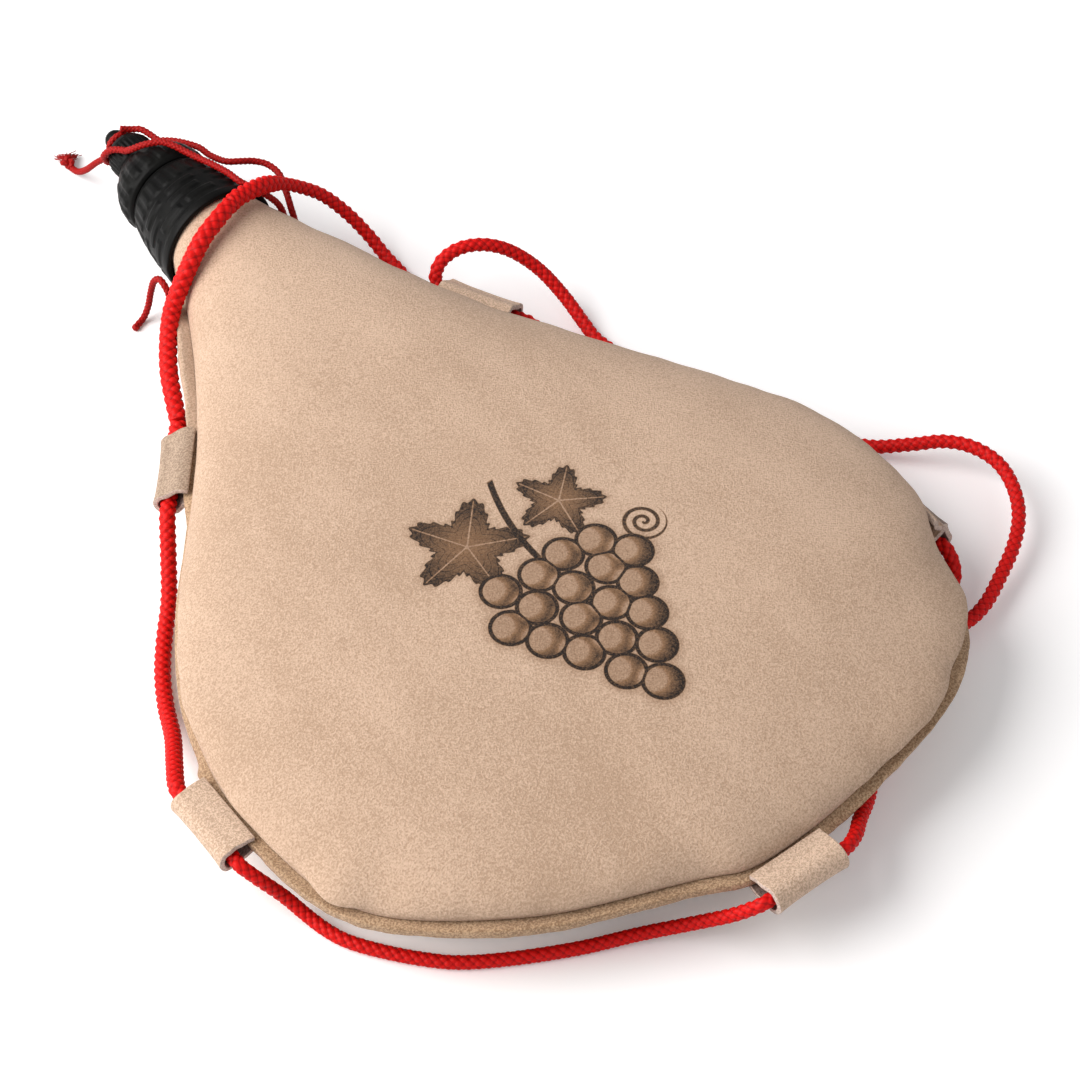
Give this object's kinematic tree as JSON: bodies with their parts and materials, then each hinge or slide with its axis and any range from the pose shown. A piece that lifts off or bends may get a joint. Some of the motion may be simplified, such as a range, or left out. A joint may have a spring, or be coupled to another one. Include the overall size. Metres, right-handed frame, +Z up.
{
  "type": "leather bota bag",
  "caption": "Pear-shaped suede wine bag lying on its back, with a latex liner, black screw collar, nozzle and cap, and a red cord through suede loops.",
  "frame": {"origin": "centre of the box round the bag, loops and collar, cords left out, on the table that the bag lies on", "axes": "+Z up from the table through the flat-lying bag, +Y along the collar's axis from the bag to the cap, +X to the right seen from above"},
  "size_m": [0.2732, 0.3864, 0.0465],
  "materials": {
    "suede": "napped light tan suede, matt",
    "suede_edge": "cut edge and welt of darker tan suede",
    "suede_loop": "napped light tan suede strip, matt",
    "latex": "plain natural latex",
    "black_plastic": "moulded black plastic, satin",
    "black_rubber": "black sealing rubber",
    "linen_thread": "waxed linen thread",
    "red_cord": "braided red polyester cord"
  },
  "bodies": {
    "bag": {"front_panel": "suede", "back_panel": "suede", "seam_welt": "suede_edge", "liner": "latex", "loop_right_upper": "suede_loop", "loop_right_lower": "suede_loop", "loop_bottom": "suede_loop", "loop_left_lower": "suede_loop", "loop_left_upper": "suede_loop", "neck_insert": "black_plastic", "collar_skirt": "black_plastic", "binding_thread": "linen_thread", "shoulder_cord_left": "red_cord", "shoulder_cord_right": "red_cord", "shoulder_cord_slack": "red_cord", "shoulder_cord_splice": "red_cord", "tie_cord": "red_cord", "tie_cord_return": "red_cord"},
    "nozzle_lift": {"nozzle_gasket": "black_rubber"},
    "nozzle": {"nozzle": "black_plastic"},
    "cap_lift": {"cap_seal": "black_rubber", "tie_cord_wrap": "red_cord", "tie_cord_wrap_return": "red_cord", "tie_cord_tuft": "red_cord"},
    "cap": {"cap": "black_plastic"}
  },
  "joints": [
    {"name": "nozzle_rise", "type": "slide", "parent": "bag", "child": "nozzle_lift", "axis": [0, 1, 0], "range_m": [0, 0.006], "deforming": ["tie_cord", "tie_cord_return"]},
    {"name": "nozzle_turn", "type": "hinge", "parent": "nozzle_lift", "child": "nozzle", "pos_m": [0.01051, 0.14956, 0.022], "axis": [0, 1, 0], "range_deg": [0, 721]},
    {"name": "cap_rise", "type": "slide", "parent": "nozzle", "child": "cap_lift", "axis": [0, 1, 0], "range_m": [0, 0.008]},
    {"name": "cap_turn", "type": "hinge", "parent": "cap_lift", "child": "cap", "pos_m": [0.01051, 0.16806, 0.022], "axis": [0, 1, 0], "range_deg": [0, 1442]}
  ],
  "couplings": [
    {"joint": "nozzle_turn", "follows": "nozzle_rise", "rad_per_m": 2094.4},
    {"joint": "cap_turn", "follows": "cap_rise", "rad_per_m": 3141.6}
  ]
}
